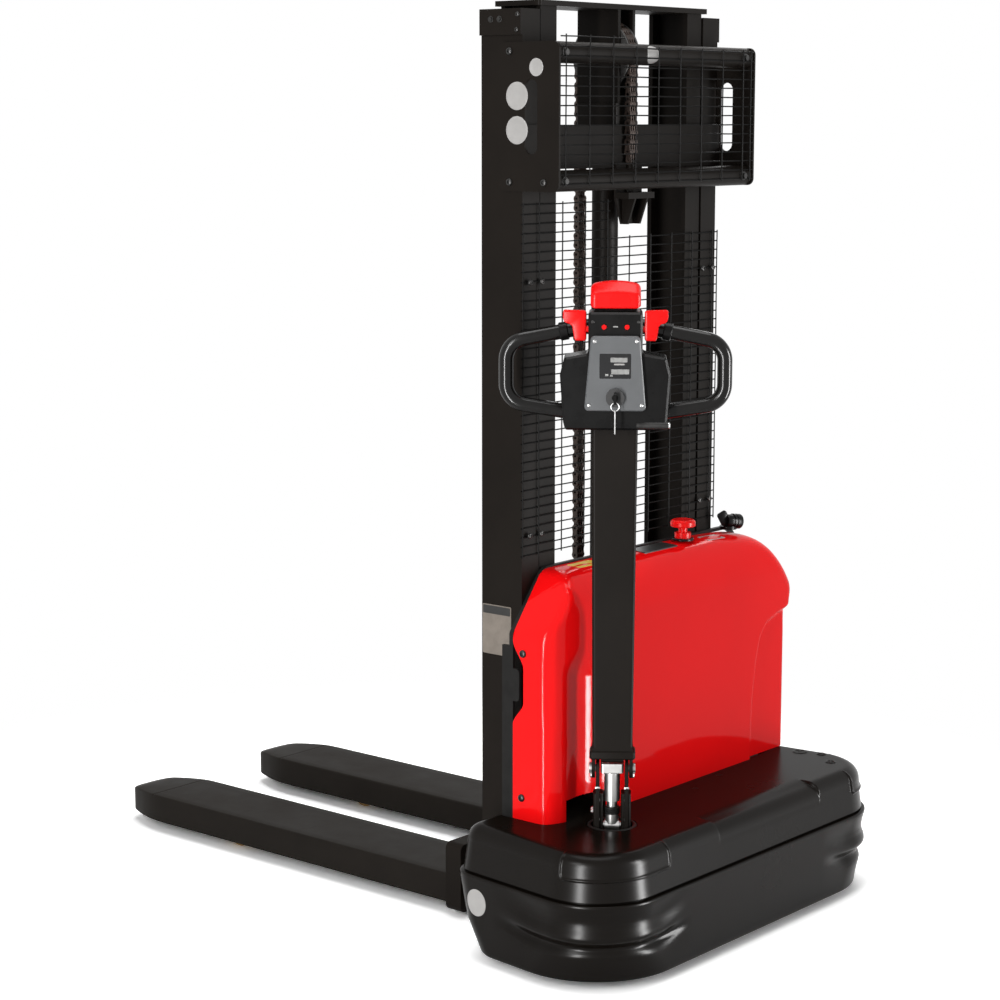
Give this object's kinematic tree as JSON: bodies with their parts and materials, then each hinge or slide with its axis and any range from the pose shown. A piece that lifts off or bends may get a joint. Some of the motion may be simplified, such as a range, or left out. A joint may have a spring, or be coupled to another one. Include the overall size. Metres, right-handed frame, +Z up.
{
  "type": "electric stacker",
  "caption": "Walk-behind electric stacker: two-stage black mast with guard meshes, red motor hood, rounded base cover, steering tiller and forks on support legs.",
  "frame": {"origin": "middle of the bounding box on the floor, which the wheels touch at z = 0", "axes": "+X to the operator's right, +Y forwards along the forks, +Z up the mast"},
  "size_m": [0.9676, 1.5801, 1.813],
  "materials": {
    "black_paint": "satin black powder coat",
    "black_wire": "black coated welded wire",
    "black_moulding": "satin black moulded plastic",
    "red_moulding": "glossy red moulded hood",
    "red_button": "glossy red plastic",
    "black_seal": "black rubber edge",
    "black_grip": "black coated tube",
    "grey_head": "textured dark grey plastic",
    "panel_face": "mid grey panel",
    "screen": "black display window",
    "chrome_plate": "bright chrome",
    "bare_steel": "machined steel",
    "greased_steel": "greased brown chain steel",
    "cast_grey": "grey cast iron",
    "motor_case": "cast aluminium",
    "tread": "dark polyurethane tread",
    "roller_tread": "amber polyurethane",
    "battery_case": "black battery case",
    "pump_paint": "grey paint"
  },
  "bodies": {
    "chassis": {"chassis_frame": "black_paint", "support_legs": "black_paint", "base_cover": "black_moulding", "base_skirt": "black_moulding", "hood": "red_moulding", "hood_seal": "black_seal", "battery_pack": "battery_case", "pump_unit": "pump_paint", "outer_upright_left": "black_paint", "outer_upright_right": "black_paint", "upper_crossbeam": "black_paint", "lift_cylinder": "black_paint", "guard_plates": "black_paint", "guard_tubes": "black_paint", "guard_mesh": "black_wire", "mast_mesh": "black_wire", "chain_anchor": "black_paint", "estop_collar": "red_button", "charger_socket": "black_moulding", "load_axles": "bare_steel"},
    "inner_mast": {"inner_upright_left": "black_paint", "inner_upright_right": "black_paint", "inner_top_plate": "black_paint", "inner_crossbar": "black_paint", "piston_rod": "chrome_plate", "lift_chain": "greased_steel"},
    "chain_wheel": {"chain_wheel": "cast_grey"},
    "inner_rollers": {"inner_mast_rollers": "bare_steel"},
    "outer_rollers": {"outer_mast_rollers": "bare_steel"},
    "carriage": {"carriage_frame": "black_paint", "fork_left": "black_paint", "fork_right": "black_paint"},
    "upper_rollers": {"carriage_rollers_upper": "bare_steel"},
    "lower_rollers": {"carriage_rollers_lower": "bare_steel"},
    "steering": {"tiller_base": "black_paint", "drive_bracket": "black_paint", "drive_motor": "motor_case"},
    "drive_wheel": {"drive_wheel": "cast_grey", "drive_tyre": "tread"},
    "caster": {"caster_fork": "black_paint"},
    "caster_wheel": {"caster_wheel": "tread"},
    "left_roller": {"load_roller_left": "roller_tread"},
    "right_roller": {"load_roller_right": "roller_tread"},
    "tiller": {"tiller_arm": "black_paint", "pivot_pins": "chrome_plate", "head_housing": "grey_head", "handle_loops": "black_grip", "control_panel": "panel_face", "display": "screen"},
    "spring_rod": {"gas_spring_rod": "bare_steel"},
    "spring_tube": {"gas_spring_tube": "chrome_plate"},
    "belly_switch": {"belly_switch": "red_button"},
    "throttle": {"throttle": "red_button"},
    "lift_button": {"lift_button": "red_button"},
    "lower_button": {"lower_button": "red_button"},
    "key": {"key": "chrome_plate", "key_ring": "bare_steel"},
    "estop": {"estop_button": "red_button"},
    "charger_cap": {"charger_cap": "black_moulding"}
  },
  "joints": [
    {"name": "mast_lift", "type": "slide", "parent": "chassis", "child": "inner_mast", "axis": [0, 0, 1], "range_m": [0, 1.15], "deforming": ["lift_chain"]},
    {"name": "carriage_lift", "type": "slide", "parent": "inner_mast", "child": "carriage", "axis": [0, 0, 1], "range_m": [0, 1.15]},
    {"name": "steer", "type": "hinge", "parent": "chassis", "child": "steering", "pos_m": [-0.259, -0.617, 0.22], "axis": [0, 0, 1], "range_deg": [-12, 87]},
    {"name": "drive_wheel_spin", "type": "hinge", "parent": "steering", "child": "drive_wheel", "pos_m": [-0.259, -0.617, 0.095], "axis": [0.606, -0.7955, 0], "continuous": true},
    {"name": "tiller_tilt", "type": "hinge", "parent": "steering", "child": "tiller", "pos_m": [-0.259, -0.617, 0.371], "axis": [0.606, -0.7955, 0], "range_deg": [0, 75], "stiffness_Nm_per_rad": 40, "springref_deg": -22.92},
    {"name": "gas_spring_swing", "type": "hinge", "parent": "steering", "child": "spring_rod", "pos_m": [-0.259, -0.617, 0.259], "axis": [0.606, -0.7955, 0], "range_deg": [0, 7.8]},
    {"name": "gas_spring_stroke", "type": "slide", "parent": "spring_rod", "child": "spring_tube", "axis": [0, 0, -1], "range_m": [0, 0.0112]},
    {"name": "caster_swivel", "type": "hinge", "parent": "chassis", "child": "caster", "pos_m": [0.259, -0.617, 0.22], "axis": [0, 0, 1], "continuous": true},
    {"name": "caster_wheel_spin", "type": "hinge", "parent": "caster", "child": "caster_wheel", "pos_m": [0.259, -0.651, 0.062], "axis": [1, 0, 0], "continuous": true},
    {"name": "left_roller_spin", "type": "hinge", "parent": "chassis", "child": "left_roller", "pos_m": [-0.201, 0.438, 0.037], "axis": [1, 0, 0], "continuous": true},
    {"name": "right_roller_spin", "type": "hinge", "parent": "chassis", "child": "right_roller", "pos_m": [0.201, 0.438, 0.037], "axis": [1, 0, 0], "continuous": true},
    {"name": "throttle_turn", "type": "hinge", "parent": "tiller", "child": "throttle", "pos_m": [-0.28286, -0.63518, 1.212], "axis": [0.606, -0.7955, 0], "range_deg": [-25, 25], "stiffness_Nm_per_rad": 0.6},
    {"name": "belly_switch_press", "type": "slide", "parent": "tiller", "child": "belly_switch", "axis": [0, 0, -1], "range_m": [0, 0.005], "stiffness_N_per_m": 1200, "springref_m": -0.01},
    {"name": "lift_button_press", "type": "slide", "parent": "tiller", "child": "lift_button", "axis": [0.7955, 0.606, 0], "range_m": [0, 0.0025], "stiffness_N_per_m": 500, "springref_m": -0.002},
    {"name": "lower_button_press", "type": "slide", "parent": "tiller", "child": "lower_button", "axis": [0.7955, 0.606, 0], "range_m": [0, 0.0025], "stiffness_N_per_m": 500, "springref_m": -0.002},
    {"name": "key_turn", "type": "hinge", "parent": "tiller", "child": "key", "pos_m": [-0.31071, -0.65639, 1.088], "axis": [0.7955, 0.606, 0], "range_deg": [0, 75]},
    {"name": "estop_press", "type": "slide", "parent": "chassis", "child": "estop", "axis": [0, 0, -1], "range_m": [0, 0.008], "stiffness_N_per_m": 1500, "springref_m": -0.003},
    {"name": "charger_cap_turn", "type": "hinge", "parent": "chassis", "child": "charger_cap", "pos_m": [0.33, -0.47, 0.75], "axis": [0, 0, 1], "range_deg": [0, 90]},
    {"name": "inner_roller_spin", "type": "hinge", "parent": "inner_mast", "child": "inner_rollers", "pos_m": [0, -0.387, 0.34], "axis": [1, 0, 0], "range_deg": [0, 1670.1]},
    {"name": "outer_roller_spin", "type": "hinge", "parent": "chassis", "child": "outer_rollers", "pos_m": [0, -0.387, 1.72], "axis": [1, 0, 0], "range_deg": [-1759.1, 0]},
    {"name": "upper_roller_spin", "type": "hinge", "parent": "carriage", "child": "upper_rollers", "pos_m": [0, -0.387, 0.44], "axis": [1, 0, 0], "range_deg": [-1759.1, 0]},
    {"name": "lower_roller_spin", "type": "hinge", "parent": "carriage", "child": "lower_rollers", "pos_m": [0, -0.387, 0.18], "axis": [1, 0, 0], "range_deg": [0, 1759.1]},
    {"name": "chain_wheel_spin", "type": "hinge", "parent": "inner_mast", "child": "chain_wheel", "pos_m": [0, -0.391, 1.7145], "axis": [1, 0, 0], "range_deg": [0, 1047.9]}
  ],
  "couplings": [
    {"joint": "carriage_lift", "follows": "mast_lift", "ratio": 1},
    {"joint": "inner_roller_spin", "follows": "mast_lift", "rad_per_m": 25.316},
    {"joint": "outer_roller_spin", "follows": "mast_lift", "rad_per_m": -26.667},
    {"joint": "upper_roller_spin", "follows": "mast_lift", "rad_per_m": -26.667},
    {"joint": "lower_roller_spin", "follows": "mast_lift", "rad_per_m": 26.667},
    {"joint": "chain_wheel_spin", "follows": "mast_lift", "rad_per_m": 15.873},
    {"joint": "gas_spring_swing", "follows": "tiller_tilt", "ratio": 0.1011},
    {"joint": "gas_spring_stroke", "follows": "tiller_tilt", "m_per_rad": 0.00827}
  ]
}
